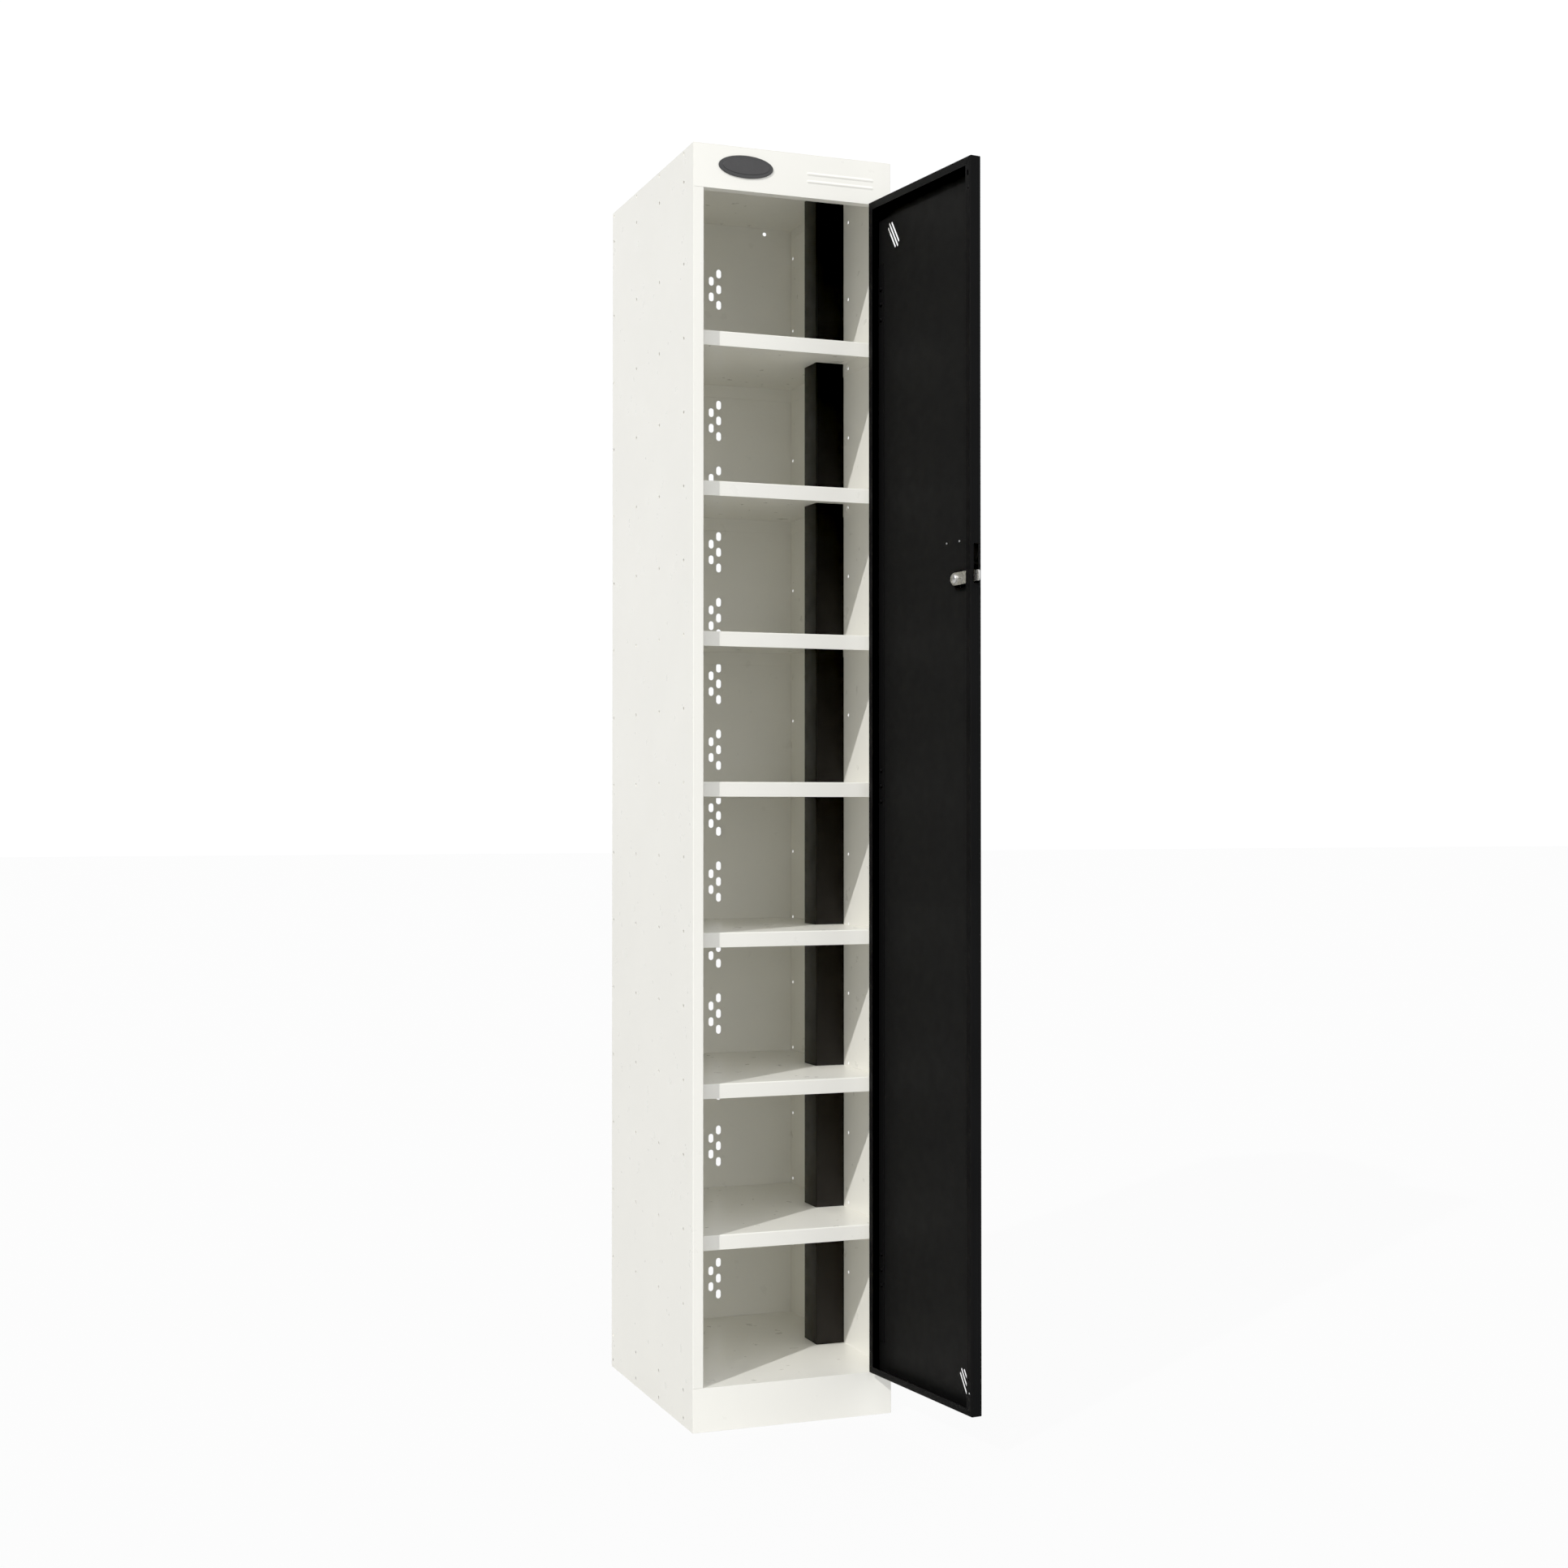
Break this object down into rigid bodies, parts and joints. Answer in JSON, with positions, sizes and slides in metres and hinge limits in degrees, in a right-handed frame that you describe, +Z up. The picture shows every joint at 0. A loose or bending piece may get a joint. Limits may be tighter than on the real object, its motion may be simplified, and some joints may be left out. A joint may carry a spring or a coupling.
{
  "type": "locker cabinet",
  "caption": "Tall narrow steel locker with one full-height hinged door, folded shelves, a vented back, a service duct on the right wall and a cam lock.",
  "frame": {"origin": "front bottom centre of the cabinet body, on the floor, in the plane of the front face", "axes": "+Z up, +Y from the front to the back, +X to the right as seen from the front"},
  "size_m": [0.3125, 0.6847, 1.8],
  "materials": {
    "body_paint": "satin off-white powder coat",
    "door_paint": "satin black powder coat",
    "duct_paint": "satin black powder coat",
    "zinc_steel": "bright zinc plate",
    "nickel": "satin nickel plate",
    "plate_aluminium": "brushed",
    "badge_plastic": "satin dark grey",
    "badge_inlay_plastic": "fine grain dark grey"
  },
  "bodies": {
    "cabinet": {"side_panel_left": "body_paint", "side_panel_right": "body_paint", "upright_left": "body_paint", "upright_right": "body_paint", "back_panel": "body_paint", "top_panel": "body_paint", "base_pan": "body_paint", "plinth": "body_paint", "header_fascia": "body_paint", "shelf_1": "body_paint", "shelf_2": "body_paint", "shelf_3": "body_paint", "shelf_4": "body_paint", "shelf_5": "body_paint", "shelf_6": "body_paint", "shelf_7": "body_paint", "duct_channel": "zinc_steel", "duct_cover": "duct_paint", "badge_plate": "badge_plastic", "badge_inlay": "badge_inlay_plastic", "hinge_bottom_frame_leaf": "body_paint", "hinge_middle_frame_leaf": "body_paint", "hinge_top_frame_leaf": "body_paint", "hinge_bottom_pin": "zinc_steel", "hinge_middle_pin": "zinc_steel", "hinge_top_pin": "zinc_steel", "hinge_frame_rivets": "body_paint"},
    "door": {"door_panel": "door_paint", "door_stiffener": "door_paint", "lock_body": "nickel", "lock_nut": "door_paint", "number_plate": "plate_aluminium", "number_plate_rivets": "zinc_steel", "hinge_bottom_door_leaf": "door_paint", "hinge_middle_door_leaf": "door_paint", "hinge_top_door_leaf": "door_paint", "hinge_door_rivets": "door_paint"},
    "lock_rotor": {"lock_plug": "nickel", "lock_cam": "nickel", "cam_screw": "nickel"}
  },
  "joints": [
    {"name": "door_hinge", "type": "hinge", "parent": "cabinet", "child": "door", "pos_m": [0.134, -0.006, 0.9], "axis": [0, 0, 1], "range_deg": [-97.4, 80]},
    {"name": "lock_turn", "type": "hinge", "parent": "door", "child": "lock_rotor", "pos_m": [0.14799, -0.2224, 1.1768], "axis": [-0.9917, -0.1288, 0], "range_deg": [0, 90]}
  ]
}
